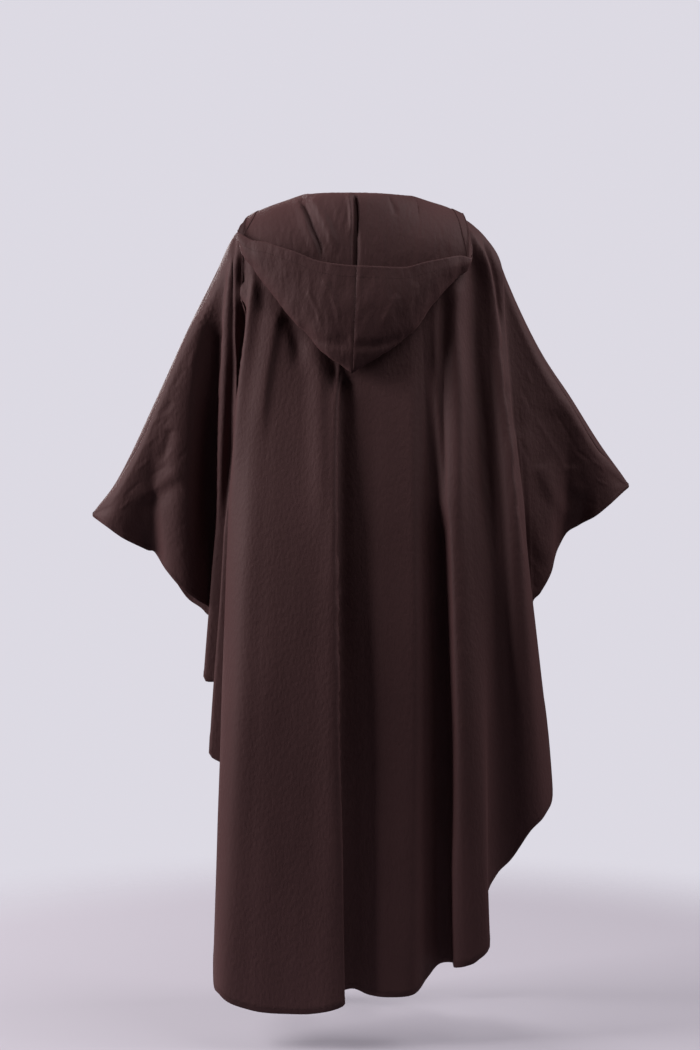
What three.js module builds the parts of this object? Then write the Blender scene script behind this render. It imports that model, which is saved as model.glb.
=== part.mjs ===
// A long hooded poncho with batwing arms, in the shape that it has when it is worn: thin
// cloth that hangs from the shoulders and from two arms held out and down, with the hood
// down on the back. Millimetres, +Z up. The wearer faces +Y, so the back is on the -Y side
// and the wearer's left arm on the -X side. The origin is the centre of the neck opening.
import * as THREE from 'three';

// Cloth.
const PANEL_WALL = 1.8;
const HOOD_WALL = 1.6;
const FACING_WALL = 1.0;
const SEAM_GAP = 0.3;
const CLOTH_COLOUR = 0x47312f;

// Neck opening, an oval that the hood is sewn to. Its ends are 90 degrees from its centres.
const NECK_HALF_WIDTH = 90;
const NECK_ENDS = 90;
const NECK_BACK_DEPTH = 60;
const NECK_FRONT_DEPTH = 72;
const NECK_BACK_DROP = 10;
const NECK_FRONT_DROP = 58;

// How far a panel's turn over the arm may go down, and how far it leans to the middle line.
const MOST_TURN_SHARE = 0.4;
const TURN_LEAN_SHARE = 0.45;

// Fineness of the walls.
const COLUMNS_BETWEEN_FOLDS = 2;
const TURN_ROWS = 3;
const BACK_NECK_STEP = 6;
const BACK_FALL_ROWS = 11;
const FRONT_NECK_STEP = 10;
const FRONT_FALL_ROWS = 9;
const HOOD_ROLL_ROWS = 4;
const HOOD_FALL_ROWS = 12;
const CURVE_SAMPLES = 160;

// Hood: the roll at the neck seam and the length in which it settles, how far the hood lies
// off the panels, the bend under the pouch and how much the outer layer bellies out.
const NECK_ROLL_RADIUS = 4.8;
const ROLL_SETTLES = 30;
const MOST_SETTLE_SHARE = 0.4;
const HOOD_CLEARANCE = 6;
const BEND_SHARE = 0.6;
const MOST_FALL_BEND = 0.3;
const MOST_RISE_BEND = 0.4;
const BELLY_SHARE = 1.12;

// Band inside the face edge of the hood.
const FACING_WIDTH = 21;
const FACING_ROWS = 3;
const LEAST_PLAIN_SHARE = 0.4;

// A small step for finding slopes on the surfaces, and halvings for finding a place on them.
const NUDGE = 0.01;
const HALVINGS = 40;

/** Rows of values with named columns; `place` counts the rows. */
function table(columns, rows) {
  return rows.map((row, place) => {
    const entries = row.map((value, column) => [columns[column], value]);
    return { place, ...Object.fromEntries(entries) };
  });
}

// The line that the cloth hangs from: along the left arm, across the shoulders and along
// the right arm. `depth` is how far out the cloth lies where it has turned downward over
// the arm or the shoulder, and `drop` how far below the line that is.
const ARM_LINE = table(
  ['x', 'z', 'depth', 'drop'],
  [
    [-465, -548, 3, 7],
    [-420, -489, 28, 34],
    [-357, -359, 38, 44],
    [-294, -221, 43, 50],
    [-241, -117, 48, 58],
    [-219, -73, 54, 68],
    [-194, -43, 66, 86],
    [-157, -21, 82, 105],
    [-90, 0, 90, 116],
    [0, 4, 94, 120],
    [90, -3, 90, 116],
    [150, -19, 82, 105],
    [190, -42, 66, 86],
    [215, -74, 54, 68],
    [247, -129, 48, 58],
    [318, -265, 43, 50],
    [371, -345, 38, 44],
    [424, -429, 28, 34],
    [474, -497, 3, 7],
  ],
);

// One row for each fold line, from the left cuff to the right cuff. `top` is where the line
// starts: millimetres along the arm line, and within 90 either way the degrees round the
// neck opening. `mid` is half way down and `hem` the bottom; `Out` is the distance outward
// from the plane of the arms. An x that steps back makes a fold that laps over its neighbour.
const FOLD_COLUMNS = ['fold', 'top', 'midX', 'midOut', 'hemX', 'hemOut', 'hemZ'];

const BACK_FOLDS = table(FOLD_COLUMNS, [
  ['left cuff tip', -465, -463, 3, -460, 3, -556],
  ['left cuff upper', -440, -440, 22, -438, 23, -570],
  ['left cuff lower', -416, -414, 28, -410, 24, -590],
  ['left cuff tack', -378, -374, 27, -371, 1.05, -611],
  ['left tack end', -357, -356, 26, -355, 1.05, -616],
  ['left wing hem', -337, -336, 32, -332, 28, -647],
  ['left wing ridge', -314, -314, 36, -306, 34, -677],
  ['left wing slope', -288, -288, 30, -281, 28, -697],
  ['left wing end', -256, -262, 17, -255, 14, -718],
  ['left underarm', -226, -244, 16, -252, 12, -760],
  ['left strip edge', -208, -241, 34, -268, 22, -834],
  ['left strip turn', -201, -226, 40, -230, 30, -850],
  ['left cascade edge', -194, -228, 50, -258, 47, -955],
  ['left cascade turn', -187, -212, 58, -216, 62, -1020],
  ['left side edge', -178, -227, 98, -245, 106, -1306],
  ['left side round', -154, -200, 143, -230, 154, -1352],
  ['left panel', -122, -160, 154, -180, 166, -1372],
  ['left panel middle', -90, -112, 157, -124, 171, -1377],
  ['left panel inner', -66, -72, 159, -80, 175, -1376],
  ['left pleat ridge', -42, -46, 161, -40, 180, -1368],
  ['centre pleat edge', -24, -31, 156, -22, 177, -1358],
  ['centre pleat turn', -12, -33, 136, -36, 154, -1350],
  ['centre valley', 0, -12, 130, -10, 147, -1341],
  ['centre rise', 18, 14, 134, 18, 153, -1350],
  ['right ridge', 36, 48, 141, 50, 161, -1352],
  ['right ridge end', 60, 90, 141, 92, 158, -1348],
  ['right valley wall', 78, 114, 124, 114, 134, -1328],
  ['right valley', 90, 130, 105, 138, 108, -1309],
  ['right valley turn', 102, 141, 110, 160, 115, -1306],
  ['right pleat edge', 112, 149, 132, 160, 141, -1307],
  ['right pleat ridge', 124, 162, 142, 180, 151, -1303],
  ['right pleat slope', 138, 182, 139, 200, 149, -1294],
  ['right hem corner', 152, 200, 129, 221, 138, -1268],
  ['right trough', 164, 216, 117, 217, 118, -1199],
  ['right trough floor', 174, 232, 109, 236, 98, -1160],
  ['right round hem', 184, 246, 109, 262, 92, -1134],
  ['right side ridge', 195, 261, 118, 292, 100, -1087],
  ['right side round', 206, 277, 113, 318, 92, -1060],
  ['right side edge', 217, 286, 86, 334, 62, -1020],
  ['right side turn', 228, 280, 62, 326, 34, -900],
  ['right underarm', 248, 281, 56, 304, 36, -770],
  ['right wing start', 276, 293, 54, 302, 40, -706],
  ['right wing slope', 302, 310, 50, 316, 40, -684],
  ['right wing ridge', 328, 332, 44, 334, 36, -652],
  ['right wing hem', 348, 349, 36, 345, 22, -614],
  ['right tack end', 368, 368, 27, 365, 1.05, -582],
  ['right cuff tack', 392, 390, 27, 387, 1.05, -568],
  ['right cuff lower', 420, 418, 26, 415, 23, -551],
  ['right cuff upper', 448, 447, 20, 444, 22, -527],
  ['right cuff tip', 474, 473, 3, 470, 3, -505],
]);

const FRONT_FOLDS = table(FOLD_COLUMNS, [
  ['left cuff tip', -465, -463, 3, -460, 3, -556],
  ['left cuff upper', -440, -440, 22, -438, 23, -570],
  ['left cuff lower', -416, -414, 28, -410, 24, -590],
  ['left cuff tack', -378, -374, 27, -371, 1.05, -611],
  ['left tack end', -357, -356, 26, -355, 1.05, -616],
  ['left wing hem', -337, -336, 32, -330, 26, -655],
  ['left wing ridge', -308, -310, 34, -302, 30, -697],
  ['left wing slope', -276, -278, 26, -270, 24, -722],
  ['left underarm', -238, -250, 20, -246, 18, -770],
  ['left side turn', -214, -238, 38, -238, 30, -1010],
  ['left side edge', -190, -232, 78, -232, 78, -1290],
  ['left side round', -160, -196, 112, -200, 122, -1342],
  ['left panel', -124, -150, 128, -156, 142, -1360],
  ['left valley', -90, -112, 118, -118, 122, -1357],
  ['left ridge', -60, -72, 142, -78, 160, -1365],
  ['left inner slope', -30, -34, 146, -34, 164, -1367],
  ['centre valley', 0, -2, 132, 2, 138, -1362],
  ['right inner slope', 30, 30, 147, 36, 166, -1366],
  ['right ridge', 60, 68, 142, 76, 156, -1362],
  ['right valley', 90, 112, 116, 116, 116, -1352],
  ['right panel', 124, 150, 124, 152, 136, -1344],
  ['right side round', 160, 196, 106, 188, 112, -1312],
  ['right side edge', 190, 236, 74, 212, 66, -1230],
  ['right side turn', 214, 252, 38, 246, 28, -980],
  ['right underarm', 240, 264, 20, 280, 16, -760],
  ['right wing slope', 276, 288, 24, 296, 20, -702],
  ['right wing ridge', 308, 312, 32, 318, 28, -680],
  ['right wing hem', 338, 340, 30, 338, 24, -640],
  ['right tack end', 368, 368, 27, 365, 1.05, -582],
  ['right cuff tack', 392, 390, 27, 387, 1.05, -568],
  ['right cuff lower', 420, 418, 26, 415, 23, -551],
  ['right cuff upper', 448, 447, 20, 444, 22, -527],
  ['right cuff tip', 474, 473, 3, 470, 3, -505],
]);

// The hood, by degrees round the neck seam from the centre back: 90 is the shoulder and 180
// the centre front. The cloth falls from the seam to the fold under the pouch and comes up
// again to the face edge; on the shoulders and in front it ends at the fold. `Drop` is the
// distance below the top edge of the panel that it lies on, and `puff` how far the outer
// layer stands off the inner one.
const HOOD_COLUMNS = ['around', 'foldX', 'foldDrop', 'edgeX', 'edgeDrop', 'puff'];

const HOOD_LEFT = table(HOOD_COLUMNS, [
  [0, -10, 305, -3, 124, 34],
  [15, -46, 284, -46, 121, 34],
  [30, -84, 250, -86, 113, 31],
  [45, -120, 208, -124, 98, 26],
  [58, -150, 158, -154, 80, 20],
  [68, -174, 114, -178, 66, 15],
  [77, -195, 68, -195, 42, 13],
  [84, -192, 25, -192, 23, 5],
  [90, -184, 0, -184, 0, 1],
  [110, -162, 30, -162, 30, 1],
  [130, -118, 54, -118, 54, 1],
  [155, -58, 46, -58, 46, 1],
  [180, -4, 9, -4, 9, 1],
]);

const HOOD_RIGHT = table(HOOD_COLUMNS, [
  [0, -10, 305, -3, 124, 34],
  [15, 33, 279, 34, 125, 34],
  [30, 77, 250, 74, 126, 31],
  [45, 112, 212, 112, 118, 26],
  [58, 144, 160, 146, 104, 20],
  [68, 168, 128, 171, 92, 12],
  [77, 187, 100, 190, 84, 8],
  [84, 188, 48, 188, 46, 3],
  [90, 177, 0, 177, 0, 1],
  [110, 158, 30, 158, 30, 1],
  [130, 116, 54, 116, 54, 1],
  [155, 58, 46, 58, 46, 1],
  [180, 4, 9, 4, 9, 1],
]);

// Places of the columns of the hood, in degrees round the neck seam. They include each
// corner of the neckline, and lie closer where the cloth passes over the shoulder.
const HOOD_PLACES = [
  0, 6, 12, 18, 24, 30, 36, 42, 48, 54, 60, 66, 72, 75, 78, 81, 84, 87, 90,
  95, 100, 105, 110, 120, 130, 140, 150, 160, 170, 180,
];

const BACK = {
  side: -1, folds: BACK_FOLDS, neckDepth: NECK_BACK_DEPTH, neckDrop: NECK_BACK_DROP,
  neckStep: BACK_NECK_STEP, fallRows: BACK_FALL_ROWS,
};
const FRONT = {
  side: 1, folds: FRONT_FOLDS, neckDepth: NECK_FRONT_DEPTH, neckDrop: NECK_FRONT_DROP,
  neckStep: FRONT_NECK_STEP, fallRows: FRONT_FALL_ROWS,
};

const radians = THREE.MathUtils.degToRad;
const lerp = THREE.MathUtils.lerp;

/** Value between two values with the given slopes at them. */
function hermite(from, to, slopeFrom, slopeTo, share) {
  const square = share * share;
  const cube = square * share;
  return from * (2 * cube - 3 * square + 1) + slopeFrom * (cube - 2 * square + share)
    + to * (3 * square - 2 * cube) + slopeTo * (cube - square);
}

/** The row of a table that starts the stretch in which `at` lies. */
function stretchStart(rows, key, at) {
  let start = 0;
  while (start < rows.length - 2 && at > rows[start + 1][key]) {
    start += 1;
  }
  return start;
}

/** Smooth curve through one column of a table, level where its values turn. */
function smooth(rows, key, column, at) {
  const start = stretchStart(rows, key, at);
  const slope = (row) => {
    const before = rows[Math.max(row - 1, 0)];
    const after = rows[Math.min(row + 1, rows.length - 1)];
    const turns = (after[column] - rows[row][column]) * (rows[row][column] - before[column]) <= 0;
    const inside = row > 0 && row < rows.length - 1;
    return inside && turns ? 0 : (after[column] - before[column]) / (after[key] - before[key]);
  };
  const from = rows[start];
  const to = rows[start + 1];
  const span = to[key] - from[key];
  const share = (at - from[key]) / span;
  return hermite(from[column], to[column], slope(start) * span, slope(start + 1) * span, share);
}

/** Straight lines through one column of a table, over another column that rises. */
function straight(rows, key, column, at) {
  const from = rows[stretchStart(rows, key, at)];
  const to = rows[from.place + 1];
  return lerp(from[column], to[column], (at - from[key]) / (to[key] - from[key]));
}

/** Point of the neckline of a panel, by degrees from its centre. */
function neckCorner(panel, degrees) {
  const turn = Math.cos(radians(degrees));
  const x = NECK_HALF_WIDTH * Math.sin(radians(degrees));
  const z = smooth(ARM_LINE, 'x', 'z', x) - panel.neckDrop * turn;
  return new THREE.Vector3(x, panel.side * (SEAM_GAP / 2 + panel.neckDepth * turn), z);
}

/** Top edge of a panel: straight from corner to corner of the neckline, then the arm line. */
function topEdge(panel, top) {
  if (Math.abs(top) >= NECK_ENDS) {
    return new THREE.Vector3(top, panel.side * SEAM_GAP / 2, smooth(ARM_LINE, 'x', 'z', top));
  }
  const corner = Math.floor(top / panel.neckStep) * panel.neckStep;
  const next = neckCorner(panel, corner + panel.neckStep);
  return neckCorner(panel, corner).lerp(next, (top - corner) / panel.neckStep);
}

/** The fold line at one place across a panel: its top, turn, middle and hem. */
function foldLine(panel, place) {
  const { side, folds } = panel;
  const top = topEdge(panel, straight(folds, 'place', 'top', place));
  const column = (name) => smooth(folds, 'place', name, place);
  const hem = new THREE.Vector3(column('hemX'), side * column('hemOut'), column('hemZ'));
  const mostDrop = MOST_TURN_SHARE * (top.z - hem.z);
  const drop = Math.min(smooth(ARM_LINE, 'x', 'drop', top.x), mostDrop);
  const depth = smooth(ARM_LINE, 'x', 'depth', top.x);
  const middle = new THREE.Vector3(column('midX'), side * column('midOut'), 0);
  const turnX = lerp(top.x, middle.x, TURN_LEAN_SHARE);
  const turn = new THREE.Vector3(turnX, side * depth, top.z - drop);
  return { top, turn, middle, hem, drop };
}

/** Point of a panel at one place across it and a distance below its top edge. */
function panelPoint(panel, place, below) {
  const { top, turn, middle, hem, drop } = foldLine(panel, place);
  if (below < drop) {
    const angle = Math.acos(1 - below / drop);
    const out = Math.sin(angle);
    return new THREE.Vector3(lerp(top.x, turn.x, out), lerp(top.y, turn.y, out), top.z - below);
  }
  const share = (below - drop) / (turn.z - hem.z);
  const half = share < 0.5;
  const bend = (axis) => {
    const through = (hem[axis] - turn[axis]) / 2;
    const start = axis === 'x' ? (middle.x - turn.x) / 2 : 0;
    return half
      ? hermite(turn[axis], middle[axis], start, through, share * 2)
      : hermite(middle[axis], hem[axis], through, hem[axis] - middle[axis], share * 2 - 1);
  };
  return new THREE.Vector3(bend('x'), bend('y'), top.z - below);
}

/** Distances below the top edge of the rows of a panel, at one place across it. */
function rowsBelow(panel, place) {
  const { top, hem, drop } = foldLine(panel, place);
  const turnRows = Array.from({ length: TURN_ROWS }, (_, row) => {
    return drop * (1 - Math.cos((row / TURN_ROWS) * Math.PI / 2));
  });
  const fall = top.z - hem.z - drop;
  const fallRows = Array.from({ length: panel.fallRows + 1 }, (_, row) => {
    return drop + fall * row / panel.fallRows;
  });
  return [...turnRows, ...fallRows];
}

/** Places across a panel that its columns lie at. */
function columnPlaces(panel) {
  const places = [];
  for (const { place, top } of panel.folds.slice(0, -1)) {
    const nextTop = panel.folds[place + 1].top;
    const onNeck = Math.abs(top) <= NECK_ENDS && Math.abs(nextTop) <= NECK_ENDS;
    const count = onNeck ? (nextTop - top) / panel.neckStep : COLUMNS_BETWEEN_FOLDS;
    for (let step = 0; step < count; step += 1) {
      places.push(place + step / count);
    }
  }
  return [...places, panel.folds.length - 1];
}

/** Direction square to a surface, from two points beside a point each way. */
function squareTo(left, right, above, beneath) {
  const across = right.clone().sub(left);
  return across.cross(beneath.clone().sub(above)).normalize();
}

/** Outward direction of a panel at one place and distance below its top edge. */
function panelNormal(panel, place, below) {
  const last = panel.folds.length - 1;
  const left = Math.max(place - NUDGE, 0);
  const right = Math.min(place + NUDGE, last);
  const above = Math.max(below - NUDGE, 0);
  const outward = squareTo(
    panelPoint(panel, left, below), panelPoint(panel, right, below),
    panelPoint(panel, place, above), panelPoint(panel, place, below + NUDGE),
  );
  if (below > 0) {
    return outward.multiplyScalar(panel.side);
  }
  const { x: top } = topEdge(panel, straight(panel.folds, 'place', 'top', place));
  if (Math.abs(top) <= NECK_HALF_WIDTH) {
    return new THREE.Vector3(0, 0, 1);
  }
  return outward.setY(0).normalize().multiplyScalar(panel.side);
}

/** Closed wall between two grids of points, of which the first lies on the outer side. */
function wall(outer, inner) {
  const columns = outer.length;
  const rows = outer[0].length;
  const positions = [...outer.flat(), ...inner.flat()].flatMap((point) => point.toArray());
  const at = (layer, column, row) => layer * columns * rows + column * rows + row;
  const index = [];
  const quad = (a, b, c, d) => index.push(a, b, c, a, c, d);
  for (let column = 0; column < columns - 1; column += 1) {
    const next = column + 1;
    for (let row = 0; row < rows - 1; row += 1) {
      const under = row + 1;
      quad(at(0, column, row), at(0, column, under), at(0, next, under), at(0, next, row));
      quad(at(1, column, row), at(1, next, row), at(1, next, under), at(1, column, under));
    }
    const end = rows - 1;
    quad(at(0, column, 0), at(0, next, 0), at(1, next, 0), at(1, column, 0));
    quad(at(0, column, end), at(1, column, end), at(1, next, end), at(0, next, end));
  }
  for (let row = 0; row < rows - 1; row += 1) {
    const under = row + 1;
    const end = columns - 1;
    quad(at(0, 0, row), at(1, 0, row), at(1, 0, under), at(0, 0, under));
    quad(at(0, end, row), at(0, end, under), at(1, end, under), at(1, end, row));
  }
  const geometry = new THREE.BufferGeometry();
  geometry.setAttribute('position', new THREE.Float32BufferAttribute(positions, 3));
  geometry.setIndex(index);
  geometry.computeVertexNormals();
  return geometry;
}

/** Grid of points with the outward directions at them, as a wall of one thickness. */
function thicken(grid, thickness) {
  const layer = (offset) => grid.map((column) => column.map(({ point, outward }) => {
    return point.clone().addScaledVector(outward, offset);
  }));
  return wall(layer(thickness / 2), layer(-thickness / 2));
}

/** Wall of a whole panel. */
function panelGeometry(panel) {
  const grid = columnPlaces(panel).map((place) => rowsBelow(panel, place).map((below) => ({
    point: panelPoint(panel, place, below),
    outward: panelNormal(panel, place, below),
  })));
  return thicken(panel.side < 0 ? grid : grid.reverse(), PANEL_WALL);
}

/** Place along the top edge of a panel of the line that reaches x at a distance below it. */
function topOver(panel, x, below) {
  let low = 0;
  let high = panel.folds.length - 1;
  for (let halving = 0; halving < HALVINGS; halving += 1) {
    const middle = (low + high) / 2;
    if (panelPoint(panel, middle, below).x < x) {
      low = middle;
    } else {
      high = middle;
    }
  }
  return straight(panel.folds, 'place', 'top', low);
}

/** Point off a panel, by its place along the top edge, distance below it and lift. */
function pointOff(panel, { x: top, y: below, z: lift }) {
  const place = straight(panel.folds, 'top', 'place', top);
  const under = Math.max(below, 0);
  const point = panelPoint(panel, place, under);
  return point.addScaledVector(panelNormal(panel, place, under), lift);
}

/** Roll of the hood over the neck seam, from the seam to the layer above it. */
function neckRoll(panel, degrees) {
  const seam = topEdge(panel, degrees);
  const inward = new THREE.Vector3(
    -seam.x / NECK_HALF_WIDTH ** 2, -seam.y / panel.neckDepth ** 2, 0,
  ).normalize();
  return Array.from({ length: HOOD_ROLL_ROWS }, (_, row) => {
    const angle = Math.PI * row / HOOD_ROLL_ROWS;
    const point = seam.clone().addScaledVector(inward, SEAM_GAP + NECK_ROLL_RADIUS * Math.sin(angle));
    point.z += NECK_ROLL_RADIUS * (1 - Math.cos(angle));
    return point;
  });
}

/** Marks that the hood passes at one place: top edge, distance below it and lift off it. */
function hoodMarks(panel, degrees, station) {
  const { foldX, foldDrop, edgeX, edgeDrop, puff } = station;
  const full = HOOD_CLEARANCE + puff;
  const neck = new THREE.Vector3(degrees, 0, 2 * NECK_ROLL_RADIUS);
  const middle = (HOOD_CLEARANCE + full) / 2;
  const fold = new THREE.Vector3(topOver(panel, foldX, foldDrop), foldDrop, middle);
  const edge = new THREE.Vector3(topOver(panel, edgeX, edgeDrop), edgeDrop, full);
  const reach = Math.hypot(fold.x - neck.x, foldDrop);
  const rise = Math.hypot(fold.x - edge.x, foldDrop - edgeDrop);
  const settled = Math.min(ROLL_SETTLES / reach, MOST_SETTLE_SHARE);
  const back = Math.min(BEND_SHARE * puff / reach, MOST_FALL_BEND);
  const forth = Math.min(BEND_SHARE * puff / Math.max(rise, puff), MOST_RISE_BEND);
  const onFall = (share, lift) => neck.clone().lerp(fold, share).setZ(lift);
  const onRise = (share, lift) => fold.clone().lerp(edge, share).setZ(lift);
  return [
    neck,
    onFall(settled, HOOD_CLEARANCE),
    onFall((settled + 1 - back) / 2, HOOD_CLEARANCE),
    onFall(1 - back, HOOD_CLEARANCE),
    fold,
    onRise(forth, full),
    onRise((forth + 1) / 2, HOOD_CLEARANCE + puff * BELLY_SHARE),
    edge,
  ];
}

/** Points along a line of points, at the distances that suit its whole length. */
function pointsAlong(line, distancesFor) {
  const lengths = [0];
  for (let i = 1; i < line.length; i += 1) {
    lengths.push(lengths[i - 1] + line[i].distanceTo(line[i - 1]));
  }
  const whole = lengths[lengths.length - 1];
  return distancesFor(whole).map((distance) => {
    let i = 1;
    while (i < line.length - 1 && lengths[i] < distance) {
      i += 1;
    }
    const share = (distance - lengths[i - 1]) / (lengths[i] - lengths[i - 1]);
    return line[i - 1].clone().lerp(line[i], share);
  });
}

/** Distances of the rows of the hood, with the last ones in its edge band. */
function hoodDistances(whole) {
  const band = Math.min(FACING_WIDTH, whole * (1 - LEAST_PLAIN_SHARE));
  const plain = Array.from({ length: HOOD_FALL_ROWS }, (_, row) => {
    return (whole - band) * row / HOOD_FALL_ROWS;
  });
  const edge = Array.from({ length: FACING_ROWS + 1 }, (_, row) => {
    return whole - band + band * row / FACING_ROWS;
  });
  return [...plain, ...edge];
}

/** Column of the hood at one place round the neck seam: its roll, fall and edge. */
function hoodColumn(rows, hand, around) {
  const panel = around <= NECK_ENDS ? BACK : FRONT;
  const degrees = hand * (around <= NECK_ENDS ? around : 2 * NECK_ENDS - around);
  const station = Object.fromEntries(HOOD_COLUMNS.map((column) => {
    return [column, smooth(rows, 'around', column, around)];
  }));
  const marks = new THREE.CatmullRomCurve3(hoodMarks(panel, degrees, station), false, 'centripetal');
  const line = marks.getPoints(CURVE_SAMPLES).map((mark) => pointOff(panel, mark));
  return [...neckRoll(panel, degrees), ...pointsAlong(line, hoodDistances)];
}

/** Columns of one half of the hood, from the centre back round to the centre front. */
function hoodColumns(rows, hand) {
  return HOOD_PLACES.map((around) => hoodColumn(rows, hand, around));
}

/** Outward directions at a grid of points, from their neighbours. */
function gridWithNormals(columns, hand) {
  return columns.map((column, c) => column.map((point, r) => {
    const left = columns[Math.max(c - 1, 0)][r];
    const right = columns[Math.min(c + 1, columns.length - 1)][r];
    const above = column[Math.max(r - 1, 0)];
    const beneath = column[Math.min(r + 1, column.length - 1)];
    return { point, outward: squareTo(left, right, above, beneath).multiplyScalar(-hand) };
  }));
}

/** Grid of one half of the hood; `hand` is -1 for the left half and 1 for the right one. */
function hoodGrid(rows, hand) {
  const grid = gridWithNormals(hoodColumns(rows, hand), hand);
  for (const end of [grid[0], grid[grid.length - 1]]) {
    for (const { point, outward } of end) {
      outward.setX(0).normalize();
      point.x += hand * SEAM_GAP / 2;
    }
  }
  for (const [seam] of grid) {
    seam.outward.set(0, 0, -1);
  }
  return hand < 0 ? grid.reverse() : grid;
}

/** Band inside the face edge of the hood, made from the points of the hood. */
function facingGrid(grid) {
  const offset = (HOOD_WALL + FACING_WALL) / 2 + SEAM_GAP;
  return grid.map((column) => column.slice(-FACING_ROWS - 1).map(({ point, outward }) => ({
    point: point.clone().addScaledVector(outward, offset),
    outward,
  })));
}

const poncho = new THREE.Group();
poncho.name = 'poncho';

function addPiece(name, geometry, colour = CLOTH_COLOUR) {
  const material = new THREE.MeshStandardMaterial({ color: colour, roughness: 0.62, metalness: 0 });
  const mesh = new THREE.Mesh(geometry, material);
  mesh.name = name;
  poncho.add(mesh);
}

addPiece('back', panelGeometry(BACK));
addPiece('front', panelGeometry(FRONT));
for (const [name, rows, hand] of [['left', HOOD_LEFT, -1], ['right', HOOD_RIGHT, 1]]) {
  const grid = hoodGrid(rows, hand);
  addPiece(`hood_${name}`, thicken(grid, HOOD_WALL));
  addPiece(`hood_facing_${name}`, thicken(facingGrid(grid), FACING_WALL));
}

export default poncho;
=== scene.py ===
"""A long hooded batwing poncho as it hangs when it is worn, seen from behind.

Each sewn piece is rebuilt as a thin cloth shell on the form of its CAD solid, from the same
tables, and gets its creases, hems, seams and stitches here. The tables are in millimetres,
and the meshes in metres. The wearer faces +Y and their left arm is on the -X side.
"""
import math

import bpy
import numpy as np
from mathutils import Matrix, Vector, noise


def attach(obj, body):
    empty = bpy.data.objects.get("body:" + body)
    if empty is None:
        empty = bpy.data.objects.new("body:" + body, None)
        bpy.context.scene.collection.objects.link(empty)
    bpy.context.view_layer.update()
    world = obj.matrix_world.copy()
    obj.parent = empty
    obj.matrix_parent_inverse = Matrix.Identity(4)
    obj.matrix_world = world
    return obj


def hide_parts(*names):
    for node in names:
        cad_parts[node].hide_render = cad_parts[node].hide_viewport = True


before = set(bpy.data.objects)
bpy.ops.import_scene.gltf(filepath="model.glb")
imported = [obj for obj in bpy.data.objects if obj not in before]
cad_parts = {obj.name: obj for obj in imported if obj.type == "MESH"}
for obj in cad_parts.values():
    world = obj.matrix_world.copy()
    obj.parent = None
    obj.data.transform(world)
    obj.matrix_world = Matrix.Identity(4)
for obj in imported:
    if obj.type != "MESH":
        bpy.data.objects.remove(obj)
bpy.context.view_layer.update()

MM = 0.001

# Cloth: wall of the crepe, wall and width of the doubled hems, the step up to them, and the
# gap where two pieces meet at a seam.
CLOTH_WALL = 0.9
HEM_WALL = 1.9
HEM_WIDTH = 9.0
HEM_STEP = 1.5
SEAM_GAP = 0.3

# Neck opening, and the height of the front's small lip there.
NECK_HALF_WIDTH = 90
NECK_ENDS = 90
NECK_BACK_DEPTH = 60
NECK_FRONT_DEPTH = 72
NECK_BACK_DROP = 10
NECK_FRONT_DROP = 58
NECK_LIP = 0.5

# How far a panel's turn over the arm may go down, and how far it leans to the middle line.
MOST_TURN_SHARE = 0.4
TURN_LEAN_SHARE = 0.45

# Hood: the roll at the neck seam, how far the hood lies off the panels, the bend under the
# pouch, how much the outer layer bellies out, the width of the band inside its edge, and the
# least share of the cloth that the band leaves plain.
NECK_ROLL_RADIUS = 4.8
ROLL_SETTLES = 30
MOST_SETTLE_SHARE = 0.4
HOOD_CLEARANCE = 6
BEND_SHARE = 0.6
MOST_FALL_BEND = 0.3
MOST_RISE_BEND = 0.4
BELLY_SHARE = 1.08
TIP_LIFT_SHARE = 0.38
LOWER_LIFT_SHARE = 0.72
FACING_WIDTH = 21
LEAST_PLAIN_SHARE = 0.4

# Hood: share of its rows at which it turns up, rows over which its creases change from the
# inner layer to the outer one, and degrees over which they fade at the shoulders.
FALL_SHARE = 0.62
FOLD_BLEND_ROWS = 9
SHOULDER_BLEND = 20

# Evening out of the hood's columns: rounds, degrees round the neck, and degrees of fading.
HOOD_EASINGS = 26
EASED_UP_TO = 62
EASING_FADE = 16

# How deep and how wide the cloth sinks at the arm seam and at the hood's centre seam.
SEAM_DIP = 1.6
SEAM_DIP_WIDTH = 3.5
CENTRE_SEAM_DIP = 1.3
CENTRE_SEAM_WIDTH = 3.0

# Stitches: spacing, length, width and height, the part of one that slopes at each end, how
# far in from a hem or from the hood's edge they lie, and degrees round the neck up to which
# the hood has them.
STITCH_PITCH = 3.0
STITCH_LENGTH = 2.1
STITCH_WIDTH = 0.5
STITCH_HEIGHT = 0.25
STITCH_SLOPE_SHARE = 1 / 5
HEM_STITCH_INSET = 7.5
HOOD_STITCH_INSET = 19
STITCHED_UP_TO = 78

# Creases: how far beyond its spread one is worked out, the shares of its length over which
# it fades in and out, and the distance below a panel's top edge over which all fade in.
CREASE_REACH = 2.6
FADE_IN = 0.12
FADE_OUT = 0.3
CREASES_SETTLE = 30

# Short fine wrinkles: spread, height, and how much lower those of the front lie.
FINE_WRINKLE_SPREAD = 3.6
FINE_WRINKLE_HEIGHT = 0.5
FRONT_WRINKLES_LOWER = 14

# Gentle waves of the cloth, and the finer ones of the hood.
BACK_WAVES = {"sizes": (70, 70, 180), "height": 1.6, "seed": 11}
FRONT_WAVES = {"sizes": (70, 70, 180), "height": 1.6, "seed": 23}
HOOD_WAVES = {"sizes": (16, 16, 34), "height": 1.1, "seed": 31}
HOOD_CRINKLES = {"sizes": (6, 9, 24), "height": 0.5, "seed": 47}

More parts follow.
